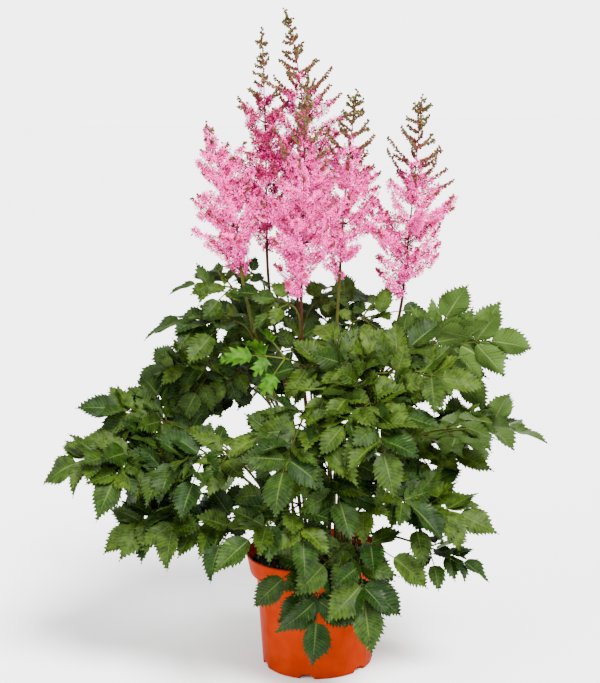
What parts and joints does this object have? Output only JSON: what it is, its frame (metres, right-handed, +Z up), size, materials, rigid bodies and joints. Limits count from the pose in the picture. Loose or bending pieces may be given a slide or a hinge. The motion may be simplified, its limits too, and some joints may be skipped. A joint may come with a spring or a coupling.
{
  "type": "astilbe plant",
  "caption": "Potted astilbe with feathery plumes over toothed, divided leaves, in a tapered round nursery pot with a wider collar.",
  "frame": {"origin": "centre of the pot's underside, on the surface that it stands on", "axes": "+Z up, -Y towards the plant's front, +X to the right as seen from the front"},
  "size_m": [0.6037, 0.4812, 0.796],
  "materials": {
    "pot": "smooth moulded orange plastic with a soft gloss",
    "soil": "matt, crumbly dark peat with pale flecks",
    "stalk": "brown-red to olive green stalks with a soft sheen",
    "plume": "matt pink florets, with olive-brown buds towards the tips",
    "leaf": "satin dark green, with pale ribs and a paler underside"
  },
  "bodies": {
    "root": {"pot": "pot", "soil": "soil", "stalk_left": "stalk", "stalk_back_left": "stalk", "stalk_tallest": "stalk", "stalk_front": "stalk", "stalk_right_centre": "stalk", "stalk_right": "stalk", "plume_left": "plume", "plume_back_left": "plume", "plume_tallest": "plume", "plume_front": "plume", "plume_right_centre": "plume", "plume_right": "plume", "stalk_leaf_left_upper": "leaf", "stalk_leaf_left_lower": "leaf", "stalk_leaf_front": "leaf", "stalk_leaf_right_centre": "leaf", "stalk_leaf_back_left": "leaf", "stalk_leaf_tallest": "leaf", "frond_right_high": "leaf", "frond_right_front": "leaf", "frond_front_high_right": "leaf", "frond_front_high": "leaf", "frond_right_middle": "leaf", "frond_right_dark": "leaf", "frond_right_low": "leaf", "frond_right_lowest": "leaf", "frond_front_low_right": "leaf", "frond_front_low": "leaf", "frond_front_left": "leaf", "frond_front_centre": "leaf", "frond_inner_front": "leaf", "frond_inner_right": "leaf", "frond_left_high": "leaf", "frond_left_upper": "leaf", "frond_left_middle": "leaf", "frond_left_inner": "leaf", "frond_left_low": "leaf", "frond_left_lowest": "leaf", "frond_left_back": "leaf", "frond_top_left": "leaf", "frond_top_right": "leaf", "frond_young": "leaf", "frond_back_right": "leaf", "frond_back": "leaf", "frond_back_left": "leaf", "frond_back_low": "leaf", "frond_back_low_left": "leaf"}
  },
  "joints": []
}
